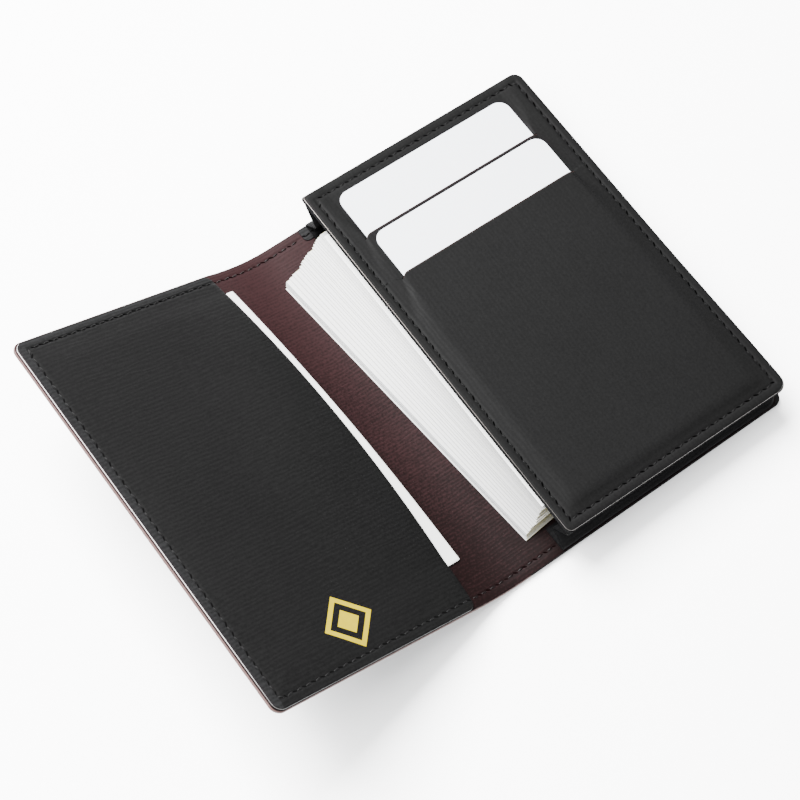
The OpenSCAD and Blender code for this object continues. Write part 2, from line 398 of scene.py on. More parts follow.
def stitches(name, paths, height, place, mat, hole_mat, face=1, slant=8, sink=0.0):
    """Separate stitches along developed paths: arched threads, each with a slanted needle slit at its end."""
    pts, faces, which = [], [], []
    segs, around = 8, 8
    for path in paths:
        run = np.concatenate([[0], np.cumsum(np.linalg.norm(np.diff(path, axis=0), axis=1))])
        n = max(1, int(round(run[-1] / PITCH)))
        for k in range(n):
            mid = run[-1] * (k + 0.5) / n + rng.uniform(-0.1, 0.1)
            c = np.array([np.interp(mid, run, path[:, i]) for i in (0, 1)])
            ahead = np.array([np.interp(mid + 0.3, run, path[:, i]) for i in (0, 1)])
            behind = np.array([np.interp(mid - 0.3, run, path[:, i]) for i in (0, 1)])
            t = (ahead - behind) / max(np.linalg.norm(ahead - behind), 1e-9)
            turn = math.radians(slant + rng.uniform(-4, 4))
            t = np.array([t[0] * math.cos(turn) - t[1] * math.sin(turn),
                          t[0] * math.sin(turn) + t[1] * math.cos(turn)])
            w = np.array([-t[1], t[0]])
            length = STITCH * rng.uniform(0.94, 1.05)
            base = len(pts)
            for i in range(segs + 1):
                x = (i / segs - 0.5) * length
                arch = math.cos(math.pi * (i / segs - 0.5))
                rad = THREAD_R * (0.55 + 0.45 * arch ** 0.5)
                rise = -0.2 + 0.26 * arch ** 0.6 - sink
                for a in range(around):
                    ang = 2 * math.pi * a / around
                    q = c + t * x + w * rad * 1.1 * math.cos(ang)
                    pts.append((q[0], q[1], rise + rad * math.sin(ang)))
            for i in range(segs):
                for a in range(around):
                    b = (a + 1) % around
                    p, q = base + i * around, base + (i + 1) * around
                    quad = (p + a, q + a, q + b, p + b)
                    faces.append(quad if face > 0 else quad[::-1])
                    which.append(0)
            at = run[-1] * min((k + 1) / n, 1 - 0.3 / run[-1])
            centre = np.array([np.interp(at, run, path[:, i]) for i in (0, 1)])
            turn = math.radians(HOLE_TURN + rng.uniform(-5, 5))
            along = np.array([t[0] * math.cos(turn) - t[1] * math.sin(turn),
                              t[0] * math.sin(turn) + t[1] * math.cos(turn)])
            over = np.array([-along[1], along[0]])
            size = rng.uniform(0.8, 1.15)
            base = len(pts)
            pts.append((centre[0], centre[1], 0.035))
            for a in range(12):
                ang = 2 * math.pi * a / 12
                q = centre + along * HOLE_L * size * math.cos(ang) + over * HOLE_W * size * math.sin(ang)
                pts.append((q[0], q[1], 0.02))
            for a in range(12):
                tri = (base, base + 1 + a, base + 1 + (a + 1) % 12)
                faces.append(tri if face > 0 else tri[::-1])
                which.append(1)
    pts = np.array(pts)
    h = height(pts[:, 0], pts[:, 1]) + face * pts[:, 2]
    return mesh_object(name, place(pts[:, 0], pts[:, 1], h), faces, [mat, hole_mat],
                       np.stack([pts[:, 0], pts[:, 1], h], -1), which)


# ---------- materials ----------
class Nodes:
    """A material's node tree with short helpers."""

    def __init__(self, name):
        self.mat = bpy.data.materials.new(name)
        self.mat.use_nodes = True
        self.tree = self.mat.node_tree
        self.shader = self.tree.nodes["Principled BSDF"]

    def add(self, kind, **values):
        n = self.tree.nodes.new(kind)
        for key, val in values.items():
            setattr(n, key, val)
        return n

    def link(self, a, b):
        self.tree.links.new(a, b)

    def put(self, socket, value):
        if isinstance(value, bpy.types.NodeSocket):
            self.link(value, socket)
        else:
            socket.default_value = value

    def math(self, op, a, b=0.0, c=0.0):
        n = self.add("ShaderNodeMath", operation=op)
        for s, val in zip(n.inputs, (a, b, c)):
            self.put(s, val)
        return n.outputs[0]

    def noise(self, vector, scale, detail=3.0, rough=0.55):
        n = self.add("ShaderNodeTexNoise")
        n.inputs["Scale"].default_value = scale
        n.inputs["Detail"].default_value = detail
        n.inputs["Roughness"].default_value = rough
        self.link(vector, n.inputs["Vector"])
        return n.outputs["Fac"]

    def stretch(self, vector, x, y, z=1.0):
        n = self.add("ShaderNodeMapping")
        n.inputs["Scale"].default_value = (x, y, z)
        self.link(vector, n.inputs["Vector"])
        return n.outputs["Vector"]

    def mix(self, fac, a, b):
        n = self.add("ShaderNodeMix", data_type="RGBA")
        self.put(n.inputs[0], fac)
        self.put(n.inputs[6], a)
        self.put(n.inputs[7], b)
        return n.outputs[2]

    def bump(self, height, strength, distance):
        n = self.add("ShaderNodeBump")
        n.inputs["Strength"].default_value = strength
        n.inputs["Distance"].default_value = distance
        self.link(height, n.inputs["Height"])
        self.link(n.outputs["Normal"], self.shader.inputs["Normal"])

    def flat(self):
        return self.add("ShaderNodeAttribute", attribute_name="flat").outputs["Vector"]

    def place(self):
        return self.add("ShaderNodeTexCoord").outputs["Object"]


def rgba(c, k=1.0):
    return (c[0] * k, c[1] * k, c[2] * k, 1.0)


def grey(value):
    return (value, value, value)


def leather(name, dark, light, along, pitch=1.12, rough=0.55, depth=0.00003, specular=0.035,
            ribs=0.75, painted_light_toward_y=0.0):
    """Leather pressed with fine wavy ribs along "x" or "y" of the developed sheet.

    ribs: how much the ribs show as colour. The last argument is painted light: how much lighter the colour is
    painted towards +y."""
    m = Nodes(name)
    p = m.flat()
    split = m.add("ShaderNodeSeparateXYZ")
    m.link(p, split.inputs[0])
    across = split.outputs["Y" if along == "x" else "X"]
    wander_by = (150, 480)
    broken_by = (520, 1300)
    if along == "y":
        wander_by = wander_by[::-1]
        broken_by = broken_by[::-1]
    wander = m.noise(m.stretch(p, *wander_by), 1.0, 3.0)
    turns = m.math("MULTIPLY", across, 2000 * math.pi / pitch)
    phase = m.math("MULTIPLY_ADD", wander, 11.0, turns)
    wave = m.math("MULTIPLY_ADD", m.math("SINE", phase), 0.5, 0.5)
    broken = m.noise(m.stretch(p, *broken_by), 1.0, 3.0, 0.6)
    ridge = m.math("MULTIPLY", wave, m.math("MULTIPLY_ADD", broken, 1.5, -0.15))
    pores = m.noise(p, 5200, 2.0, 0.6)
    height = m.math("MULTIPLY_ADD", pores, 0.35, ridge)
    mottle = m.noise(p, 34, 4.0, 0.6)
    tone = m.math("MULTIPLY_ADD", m.math("SUBTRACT", mottle, 0.5), 0.7, m.math("MULTIPLY", ridge, ribs))
    tone = m.math("ADD", tone, m.math("MULTIPLY_ADD", m.noise(p, 1700, 3.0, 0.75), 2.4, -0.7 - ribs / 3))
    # painted light: the tone is lifted towards +y
    tone = m.math("MULTIPLY_ADD", split.outputs["Y"], painted_light_toward_y / 0.055, tone)
    tone_clip = m.add("ShaderNodeClamp")
    m.link(tone, tone_clip.inputs[0])
    m.link(m.mix(tone_clip.outputs[0], rgba(dark), rgba(light)), m.shader.inputs["Base Color"])
    r = m.math("MULTIPLY_ADD", m.math("SUBTRACT", 1.0, ridge), 0.1, rough - 0.05)
    m.link(r, m.shader.inputs["Roughness"])
    m.shader.inputs["Specular IOR Level"].default_value = specular
    m.bump(height, 0.75, depth)
    return m.mat


def plain(name, colour, rough=0.5, grain=3000, depth=0.00002, vary=0.12, metallic=0.0, specular=0.5):
    """Smooth finish with a little unevenness in colour, roughness and surface."""
    m = Nodes(name)
    p = m.place()
    soft = m.noise(p, grain / 8, 3.0)
    fine = m.noise(p, grain, 3.0)
    m.link(m.mix(soft, rgba(colour, 1 - vary), rgba(colour, 1 + vary)), m.shader.inputs["Base Color"])
    m.link(m.math("MULTIPLY_ADD", fine, 0.16, rough - 0.08), m.shader.inputs["Roughness"])
    m.shader.inputs["Metallic"].default_value = metallic
    m.shader.inputs["Specular IOR Level"].default_value = specular
    m.bump(fine, 0.5, depth)
    return m.mat


def highlight_along_y(name, low, high, start, stop):
    """Painted highlight on an edge, whose colour goes from low to high between two places along y, in metres.
    """
    m = Nodes(name)
    p = m.flat()
    split = m.add("ShaderNodeSeparateXYZ")
    m.link(p, split.inputs[0])
    along = m.math("DIVIDE", m.math("SUBTRACT", split.outputs["Y"], start), stop - start)
    part = m.add("ShaderNodeClamp")
    m.link(m.math("ADD", along, m.math("MULTIPLY_ADD", m.noise(p, 900, 3.0), 0.3, -0.15)), part.inputs[0])
    m.link(m.mix(part.outputs[0], rgba(low), rgba(high)), m.shader.inputs["Base Color"])
    m.shader.inputs["Roughness"].default_value = 0.45
    m.shader.inputs["Specular IOR Level"].default_value = 0.2
    m.bump(m.noise(p, 4000, 2.0), 0.4, 0.00002)
    return m.mat


def paper(name, colour, streak=0.03, shade=0.0):
    """Card stock: faint long streaks and a fine tooth; shade: how much darker it is painted towards -y, as
    painted shade.
    """
    m = Nodes(name)
    p = m.flat()
    fibres = m.noise(m.stretch(p, 420, 14), 1.0, 4.0, 0.65)
    tooth = m.noise(p, 4200, 3.0)
    tint = m.mix(fibres, rgba(colour, 1 - streak), rgba(colour, 1 + streak))
    # painted shade: darker towards -y
    if shade:
        split = m.add("ShaderNodeSeparateXYZ")
        m.link(p, split.inputs[0])
        part = m.add("ShaderNodeClamp")
        m.link(m.math("DIVIDE", m.math("SUBTRACT", 0.012, split.outputs["Y"]), 0.06), part.inputs[0])
        k = m.math("SUBTRACT", 1.0, m.math("MULTIPLY", part.outputs[0], shade))
        scale = m.add("ShaderNodeVectorMath", operation="SCALE")
        m.link(tint, scale.inputs[0])
        m.link(k, scale.inputs["Scale"])
        tint = scale.outputs[0]
    m.link(tint, m.shader.inputs["Base Color"])
    m.link(m.math("MULTIPLY_ADD", tooth, 0.1, 0.55), m.shader.inputs["Roughness"])
    m.bump(tooth, 0.3, 0.00001)
    return m.mat


# the renderer's tone curve lifts dark tones, so the leathers are darker here than in the record
black_x = leather("black leather, ribs across", grey(0.0012), grey(0.0029), "x")
black_y = leather("black leather, ribs along", grey(0.0009), grey(0.0022), "y", pitch=1.2,
                  depth=0.00001, ribs=0.25)
black_soft = leather("black leather, gusset", (0.0017, 0.0017, 0.0018), (0.0034, 0.0034, 0.0036), "x",
                     rough=0.7, specular=0.02)
# a lighter copy of the black leather: painted sheen for rims
black_rim_painted_sheen = leather("black leather, rim with painted sheen", (0.0026, 0.0026, 0.0027), (0.0062, 0.0062, 0.0064), "x",
                    ribs=0.9)
# burgundy lining, painted lighter towards +y as painted light
burgundy = leather("burgundy leather", (0.0023, 0.00085, 0.00085), (0.0090, 0.0035, 0.0038), "x",
                   pitch=0.95, ribs=0.6, painted_light_toward_y=0.5)
lip_red = plain("slit edge", (0.0042, 0.0016, 0.0014), specular=0.05)
edge_dark = plain("edge paint, black", (0.003, 0.003, 0.0031), 0.35, specular=0.1)
edge_brown = plain("edge paint, brown", (0.06, 0.034, 0.031), specular=0.1)
# painted highlights for rounded edges, dimmer towards -y
painted_highlight_edge = highlight_along_y("edge, painted highlight", (0.035, 0.034, 0.033), (0.36, 0.34, 0.33), -0.053, -0.030)
painted_highlight_thin_edge = highlight_along_y("pocket panel edge, painted highlight", (0.06, 0.056, 0.053), (0.24, 0.215, 0.20), -0.045, 0.035)


def thread(name, colour, rough=0.5, specular=0.05):
    return plain(name, colour, rough, grain=9000, depth=0.00004, specular=specular)


def hole(name, colour):
    return plain(name, colour, 0.9, specular=0.0)


thread_black = thread("black thread", grey(0.0007))
thread_soft = thread("black thread, pulled in", grey(0.0024), specular=0.06)
thread_red = thread("burgundy thread", (0.0016, 0.0006, 0.0006), 0.4, 0.08)
hole_black = hole("needle hole", grey(0.0004))
hole_soft = hole("needle hole, pulled in", grey(0.0014))
hole_red = hole("needle hole in burgundy", (0.0012, 0.0005, 0.0005))
card_white = paper("slot card", (0.455, 0.47, 0.495), 0.012)
# stack card stock, painted darker towards -y as painted shade
card_stock = paper("card stock", (0.375, 0.375, 0.368), 0.14, shade=0.35)
# a much lighter copy of the card stock for the top card: painted light
card_stock_painted_light = paper("card stock, top card, painted lighter", (0.78, 0.78, 0.77), 0.02)
card_side = paper("card stock, cut side in shade", (0.17, 0.175, 0.18), 0.1)
# the cards' cut ends: a cream tone, darkened as painted shade
card_edge_painted_shade = paper("card stock, cut edge, cream with painted shade", (0.27, 0.245, 0.14), 0.25)
card_stock_flap = paper("card stock, flap", (0.44, 0.44, 0.43))
gold = plain("gold foil", (0.235, 0.182, 0.0004), 0.4, metallic=0.3, vary=0.14, depth=0.00003, specular=0.15)
board = plain("fibre board", (0.30, 0.23, 0.15), 0.9, grain=1500, depth=0.0001, vary=0.25)

# ---------- cover and lining, in two sheets that meet in the middle of the spine strip ----------
U_SPLIT = u_of_x(SPLIT)
U_FAR = u_of_x(FAR)
U_OUT = -FLAP_W - TANGENT + ARC
WHOLE = (U_OUT, U_FAR, -HALF, HALF)
H = FOLD_Z


def level(value):
    return lambda u, v: value + 0 * u


def cover_low(u, v):
    d = depth_in(u, v, WHOLE, CORNER_R)
    return -H + groove(d, 0.1, 0.4) + fall(d, 0.12, 1.2)


def lining_top(u, v):
    d = depth_in(u, v, WHOLE, CORNER_R)
    return H - groove(d, 0.1, 0.4) - fall(d, 0.1, 1.2)


def blend_fold(obj, which):
    if which == "back":
        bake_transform(obj)
    else:
        a, b = fold(ARC, 0, 0), fold(-ARC, 0, 0)
        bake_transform(obj)


def two_halves(make):
    """Builds the back part and the front part of a sheet, each laid out through the fold map."""
    for which in ("back", "front"):
        obj = make(which)
        blend_fold(obj, which)
        yield obj


def half_lines(which, inset):
    if which == "back":
        us = lines(U_SPLIT, U_FAR - inset, open_lo=True, coarse=1.0)
        return us, (0, 0, CORNER_R - inset, CORNER_R - inset), "u0"
    us = lines(U_OUT + inset, U_SPLIT, open_hi=True, coarse=1.0)
    return us, (CORNER_R - inset, CORNER_R - inset, 0, 0), "u1"


def cover_half(which):
    us, radii, side = half_lines(which, EDGE_R)
    vs = lines(EDGE_R - HALF, HALF - EDGE_R)
    band = (1, 1, 1, 1, 1, 1, 1, 0) if which == "front" else (0, 0, 0, 2, 2, 2, 0, 0)
    return sheet("cover_" + which, us, vs, radii, level(H - LINING_T), cover_low, fold,
                 [black_x, edge_brown, edge_dark], open_side=side, edge=band, warp=far_corner)


def far_corner(u, v):
    """The cover stands out a little at the pocket's far end and along the flap's +y side."""
    rim = COVER_RIM_OUT * smooth((v - 40) / 14) * smooth((-u - 6) / 8)
    return COVER_FAR_OUT * smooth((u - U_FAR + 14) / 14), rim


def lining_half(which):
    us, radii, side = half_lines(which, EDGE_R)
    vs = lines(EDGE_R - HALF, HALF - EDGE_R)
    return sheet("lining_" + which, us, vs, radii, lining_top, level(H - LINING_T), fold,
                 [burgundy], bulge=0.12, open_side=side)


cover_back, cover_front = two_halves(cover_half)
lining_back, lining_front = two_halves(lining_half)
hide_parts("back_cover", "spine_cover")
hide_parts("front_cover")
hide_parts("back_lining", "spine_lining")
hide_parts("front_lining")


def stiffener(name, u0, u1, body, node):
    obj = sheet(name, lines(u0, u1, coarse=4), lines(4 - HALF, HALF - 4, coarse=4), (2,) * 4,
                level(H - LINING_T + 0.05), level(-0.1), fold, [board], bulge=0.05)
    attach(obj, body)
    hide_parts(node)


stiffener("board_back", u_of_x(BACK_FOLD + 4), U_FAR - 4, "back", "back_board")
stiffener("board_front", U_OUT + 4, -ARC - 2, "flap", "front_board")


def bounded(path, keep):
    """The runs of a path where keep(u, v) holds."""
    runs, now = [], []
    for p in path:
        if keep(*p):
            now.append(p)
        elif now:
            runs.append(np.array(now))
            now = []
    if now:
        runs.append(np.array(now))
    return runs


# seams through the cover: burgundy on the inside strip, black on the outside
ring = (U_OUT + SEAM_IN, U_FAR - SEAM_IN, SEAM_IN - HALF, HALF - SEAM_IN)
path_back = seam_path((U_SPLIT, ring[1], ring[2], ring[3]), SEAM_R, ("v0", "u1", "v1"))
path_front = seam_path((ring[0], U_SPLIT, ring[2], ring[3]), SEAM_R, ("v1", "u0", "v0"))
U_MOUTH = u_of_x(MOUTH)
for which, path, keep in (("back", path_back, lambda u, v: u < U_MOUTH - (3.3 if v > 0 else 0.2)),
                          ("front", path_front, lambda u, v: u > u_of_s(lip_s(v) - 0.4))):
    shown = bounded(path, keep)
    inner = stitches("seam_inside_" + which, shown, lining_top, fold, thread_red, hole_red, slant=5)
    outer = stitches("seam_outside_" + which, [path], cover_low, fold, thread_black, hole_black, face=-1)
    blend_fold(inner, which)
    blend_fold(outer, which)
    if which == "back":
        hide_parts("spine_thread")
        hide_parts("back_thread")

# ---------- flap pocket ----------
FLAP_RECT = (U_OUT, 40.0, -HALF, HALF)
U_LIP = u_of_s(LIP_S)


def arch(u, v, s=13, reach=34):
    """How far the flap card and the leather over it bow up, from s up the flap on less and less."""
    crown = np.clip(1 - ((v - 4) / 45) ** 2, 0, 1)
    return ARCH * crown * smooth(1 - (u_of_s(s) - u) / reach)


def mouth_warp(u, v):
    """Bows the mouth edge: it lies nearest the fold in the middle."""
    near = smooth(1 - (U_LIP - u) / 25)
    return (LIP_S - lip_s(v)) * near, 0 * v


def pocket_low(u, v):
    d = depth_in(u, v, FLAP_RECT, CORNER_R)
    return H + 0.005 + (POCKET_LOW - H) * smooth((d - 1.0) / 9.0) + arch(u, v)


def pocket_high(u, v):
    d = depth_in(u, v, FLAP_RECT, CORNER_R)
    return pocket_low(u, v) + POCKET_SKIN - (groove(d, 0.14) + fall(d, 0.1, 1.0)) - fall(U_LIP - u, 0.12, 1.0)


def painted_rim_sheen(u, v):
    """Painted sheen: the rim outside the seam gets the lighter rim leather along the far end and the +y side.
    """
    return 3 if u < U_OUT + SEAM_IN - 0.45 or v > HALF - SEAM_IN + 0.45 else 0


# the pocket's middle edge bands carry a painted highlight
pocket = sheet("flap_pocket_leather", lines(U_OUT + 0.4, U_LIP - 0.15, coarse=1.0),
               lines(0.4 - HALF, HALF - 0.5, coarse=1.0), (CORNER_R - 0.3, CORNER_R - 0.3, 2.1, 2.1),
               pocket_high, pocket_low, fold, [black_x, painted_highlight_edge, edge_dark, black_rim_painted_sheen], bulge=0.2,
               edge=(0, 0, 1, 1, 1, 2, 2, 2), warp=mouth_warp, paint=painted_rim_sheen)
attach(pocket, "flap")
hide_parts("flap_pocket")

# the stitches along the +y side stand out, the others are pulled in
flap_path = seam_path((ring[0], U_LIP, ring[2], ring[3]), SEAM_R, ("v1", "u0", "v0"))
crisp = bounded(flap_path, lambda u, v: v > ring[3] - 0.01 and u < u_of_s(lip_s(v) + 0.5))
sunk = bounded(flap_path, lambda u, v: v <= ring[3] - 0.01 and u < u_of_s(lip_s(v) + 0.5))
flap_seam = stitches("flap_seam", crisp, pocket_high, fold, thread_black, hole_black)
flap_seam_sunk = stitches("flap_seam_sunk", sunk, pocket_high, fold, thread_soft, hole_soft, sink=0.04)
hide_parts("flap_thread")
for part in (flap_seam, flap_seam_sunk):
    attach(part, "flap")


# emblem: a plain lozenge in a lozenge frame, laid on the leather
emblem_lo, emblem_hi = box_mm("foil_emblem")
EMBLEM = (u_of_s(EMBLEM_S), (emblem_lo.y + emblem_hi.y) / 2)
EMBLEM_R = (emblem_hi.y - emblem_lo.y) / 2


def patch(a, b, c, d, n, m):
    """Four-sided patch cut into n by m cells."""
    a, b, c, d = (np.array(p, float) for p in (a, b, c, d))
    pts = [(a * (1 - s) + b * s) * (1 - t) + (d * (1 - s) + c * s) * t
           for s in np.linspace(0, 1, n + 1) for t in np.linspace(0, 1, m + 1)]
    cells = [(i * (m + 1) + j, (i + 1) * (m + 1) + j, (i + 1) * (m + 1) + j + 1, i * (m + 1) + j + 1)
             for i in range(n) for j in range(m)]
    return pts, cells


def lozenge(r):
    return [(r, 0), (0, r), (-r, 0), (0, -r)]


def foil(name, patches):
    pts, faces = [], []
    for some, cells in patches:
        base = len(pts)
        pts += some
        faces += [tuple(base + i for i in c) for c in cells]
    pts = np.array(pts) + np.array(EMBLEM)
    h = pocket_high(pts[:, 0], pts[:, 1]) + FOIL_UP
    return mesh_object(name, fold(pts[:, 0], pts[:, 1], h), faces, [gold])


outer, inner, core = lozenge(EMBLEM_R), lozenge(EMBLEM_R * 0.76), lozenge(EMBLEM_R * 0.46)
frame_bars = [patch(outer[i], outer[(i + 1) % 4], inner[(i + 1) % 4], inner[i], 16, 2) for i in range(4)]
emblem = foil("foil_lozenge", frame_bars + [patch(*core, 10, 10)])
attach(emblem, "flap")
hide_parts("foil_emblem")


# ---------- cards ----------
def card_points(corner, turn, length, width, r, bevel):
    """Rounded outline of a card whose length runs along -v and width along +u from its corner."""
    path = []
    corners = ((width - r, r - length, -90), (width - r, -r, 0), (r, -r, 90), (r, r - length, 180))
    for cu, cv, start in corners:
        for t in np.linspace(0, 90, 7 if r > 1 else 3):
            a = math.radians(start + t)
            path.append((cu + (r - bevel) * math.cos(a), cv + (r - bevel) * math.sin(a)))
    a, b = np.array(path).T
    c, s = math.cos(math.radians(turn)), math.sin(math.radians(turn))
    return np.stack([corner[0] + a * c - b * s, corner[1] + a * s + b * c], -1)


def card_mesh(name, cards, place, mats, bevel=0.08):
    """Cards with softened edges, in one mesh.

    Each card is (corner, turn, length, width, r, low, thickness, material of the side towards the spine)."""
    pts, faces, which = [], [], []
    for corner, turn, length, width, r, low, t, side in cards:
        rows = []
        for b, h in ((bevel, 0), (0, bevel), (0, t - bevel), (bevel, t)):
            p = card_points(corner, turn, length, width, r, b)
            rows.append(range(len(pts), len(pts) + len(p)))
            pts += [(x, y, low + h) for x, y in p]
        k = len(rows[0])
        kind = {k // 2 - 1: len(mats) - 1, 3 * k // 4 - 1: side, k - 1: len(mats) - 1}
        for lo, hi in zip(rows, rows[1:]):
            faces += [(lo[i], lo[(i + 1) % k], hi[(i + 1) % k], hi[i]) for i in range(k)]
            which += [kind.get(i, 0) for i in range(k)]
        faces += [tuple(rows[-1]), tuple(reversed(rows[0]))]
        which += [0, 0]
    pts = np.array(pts)
    obj = mesh_object(name, place(pts[:, 0], pts[:, 1], pts[:, 2]), faces, mats, pts, which)
    obj.data.polygons.foreach_set("use_smooth", [False] * len(obj.data.polygons))
    return obj


def world(u, v, h):
    return np.stack([u, v, h], -1)


# business cards: three groups, fanned towards the spine, the lowest few close together
GROUPS = (("bottom", 8), ("middle", 8), ("top", 7))
CARDS = 24
low_z = box_mm("business_cards_bottom")[0].z
FAN = ((MOUTH - 14.3, 43.0, 5.6), (MOUTH + 0.1, 47.1, 2.8))
TIGHT = 4
STEP_AT = {0: 0.0, 1: 0.35, TIGHT: 0.8, 8: 5.15, 16: 10.2, CARDS - 1: FAN[1][0] - FAN[0][0]}
steps = np.interp(np.arange(CARDS), list(STEP_AT), list(STEP_AT.values()))
steps += [0.0 if k <= TIGHT or k in STEP_AT else rng.uniform(-0.2, 0.2) for k in range(CARDS)]
level_no = 0
for group, many in GROUPS:
    cards = []
    for k in range(many):
        t = steps[level_no] / steps[-1]
        swell = 1 - ((k - 3.5) / 3.5) ** 2
        x = FAN[0][0] + steps[level_no]
        y = FAN[0][1] + (FAN[1][1] - FAN[0][1]) * t + 0.45 * swell + 0.05 * k + rng.uniform(-0.05, 0.05)
        turn = FAN[0][2] + (FAN[1][2] - FAN[0][2]) * t + rng.uniform(-0.05, 0.05)
        shaded = 1 if 0 < level_no <= TIGHT else 0
        cards.append(((x, y), turn, CARD_L, CARD_W, 0.15, low_z + level_no * LAY, STOCK, shaded))
        level_no += 1
    stack = card_mesh("business_card_stack_" + group, cards, world, [card_stock, card_side, card_edge_painted_shade])
    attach(stack, "cards_" + group)
    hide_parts("business_cards_" + group)

# the top card lies square to the mouth; it is painted much lighter than the other cards, as painted light
top_card = ((MOUTH + 0.25, 46.4), 0.4, CARD_L, CARD_W, 0.15, low_z + level_no * LAY, STOCK, 0)
last = card_mesh("business_card_last", [top_card], world, [card_stock_painted_light])
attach(last, "cards_top")

NOTE_TURN = math.radians(3.4)
NOTE_CORNER = (u_of_s(10.2), 48.4)


def note_place(a, b, h):
    """The flap card: a from its long edge at the mouth, b from its +y end; it bows with the leather."""
    u = NOTE_CORNER[0] + a * math.cos(NOTE_TURN) - b * math.sin(NOTE_TURN)
    v = NOTE_CORNER[1] + a * math.sin(NOTE_TURN) + b * math.cos(NOTE_TURN)
    return fold(u, v, h + arch(u, v, 7, 27))


note = sheet("flap_card_blank", lines(-CARD_W, 0, fine=0.5, coarse=2), lines(-CARD_L, 0, fine=0.8, coarse=2),
             (0.3,) * 4, level(NOTE_HIGH), level(NOTE_LOW), note_place, [card_stock_flap], bulge=0.03)
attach(note, "flap_card")
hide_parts("flap_card")

# ---------- pocket panel ----------
PANEL_RECT = (-PANEL_W, 0.0, -HALF, HALF)
CARD_1 = (-PANEL_W + 7.3, 51.7)
CARD_2 = (-PANEL_W + 8.4, 37.3)
RISE_1 = CARD_T + 2 * SLIT_PLAY + PANEL_SKIN - PANEL_DIP
RISE_2 = CARD_T + 2 * SLIT_PLAY + PANEL_SKIN


def lift(u, v, card, slit):
    """1 where the leather passes over a card behind its slit, falling to 0 beside and beyond the card."""
    beside = np.maximum(np.maximum(card[0] - u, u - card[0] - PLASTIC_W), 0)
    spread = SLIT_REACH + 6.4 * smooth((slit - v) / 20)
    beyond = np.maximum(CARD_2[1] - PLASTIC_L - 0.3 - v, 0)
    return np.where(v < slit, smooth(1 - beside / spread) * smooth(1 - beyond / 4.0), 0.0)


def dip(u, v):
    """The leather under the upper card is pressed in a little."""
    beside = np.maximum(np.maximum(CARD_1[0] - u, u - CARD_1[0] - PLASTIC_W), 0)
    spread = 0.6 + 3.4 * smooth((v - SLIT_1) / 10)
    return np.where(v > SLIT_1, PANEL_DIP * smooth(1 - beside / spread), 0.0)


def panel_top(u, v):
    d = depth_in(u, v, PANEL_RECT, 2.5)
    seam = groove(d, 0.15) + fall(d, 0.16, 1.1)
    inner = smooth((d + 1.0) / 8.0)
    up = (RISE_1 * lift(u, v, CARD_1, SLIT_1) + RISE_2 * lift(u, v, CARD_2, SLIT_2)) * inner
    return PANEL_RIM + up - seam - dip(u, v)


def panel_low(u, v):
    d = depth_in(u, v, PANEL_RECT, 2.5)
    rim = PANEL_LINING + 0.01
    return rim + np.maximum(panel_top(u, v) - PANEL_SKIN - rim, 0) * smooth((d - 3.0) / 1.5)


def panel_shift(u, v):
    """The panel overhangs at +y, and the slits turn down a little at their ends."""
    dv = PANEL_OUT * smooth((v - 42) / 12)
    du = PANEL_FAR_OUT * smooth(1 + u / 20) * smooth(-v / 50)
    for card, slit in ((CARD_1, SLIT_1), (CARD_2, SLIT_2)):
        near = np.exp(-((v - slit) / 1.2) ** 2)
        ends = (card[0] - SLIT_REACH, card[0] + PLASTIC_W + SLIT_REACH)
        for end, curl in zip(ends, SLIT_CURL):
            dv = dv - curl * near * np.exp(-((u - end) / 1.2) ** 2)
    return du, dv


def on_shifted_panel(u, v, h):
    du, dv = panel_shift(u, v)
    return on_panel(u + du, v + dv, h)


panel_us = lines(-PANEL_W + 0.68, -0.45, coarse=1.2, near=10)
panel_vs = lines(0.45 - HALF, HALF - 0.45, coarse=1.3, cuts=(SLIT_2, SLIT_1))
# the panel's edge bands below the top carry a painted highlight
panel = sheet("panel_leather", panel_us, panel_vs, (1.5, 0.7, 3.2, 2.4), panel_top, panel_low, on_panel,
              [black_y, painted_highlight_thin_edge, lip_red], bulge=0.27, edge=(0, 0, 1, 1, 1, 1, 1, 1), warp=panel_shift)
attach(panel, "panel")
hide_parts("panel_face")

panel_back = sheet("panel_lining_leather", lines(-PANEL_W + 0.12, -0.15, coarse=3),
                   lines(0.15 - HALF, HALF - 0.15, coarse=3), (1.5, 0.7, 3.0, 2.4),
                   level(PANEL_LINING), level(0.0), on_panel, [black_soft], bulge=0.14, warp=panel_shift)
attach(panel_back, "panel")
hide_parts("panel_lining", "slot_backing")

rect = (-PANEL_W + SEAM_IN, -SEAM_IN, SEAM_IN - HALF, HALF - SEAM_IN)
loop = seam_path(rect, 1.3, ("v0", "u1", "v1", "u0"))
panel_seam = stitches("panel_seam", [loop], panel_top, on_shifted_panel, thread_black, hole_black, sink=0.1)
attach(panel_seam, "panel")
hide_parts("panel_thread")

for name, node, body, card, low in (
        ("upper", "slot_card_upper", "upper_card", CARD_1, PANEL_RIM - PANEL_DIP + SLIT_PLAY),
        ("lower", "slot_card_lower", "lower_card", CARD_2, PANEL_RIM + RISE_1 + SLIT_PLAY)):
    obj = card_mesh("plastic_card_" + name, [(card, 0.0, PLASTIC_L, PLASTIC_W, PLASTIC_R, low, CARD_T, 0)],
                    on_panel, [card_white], bevel=0.09)
    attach(obj, body)
    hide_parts(node)

# ---------- gusset: one strip folded inwards along three sides ----------

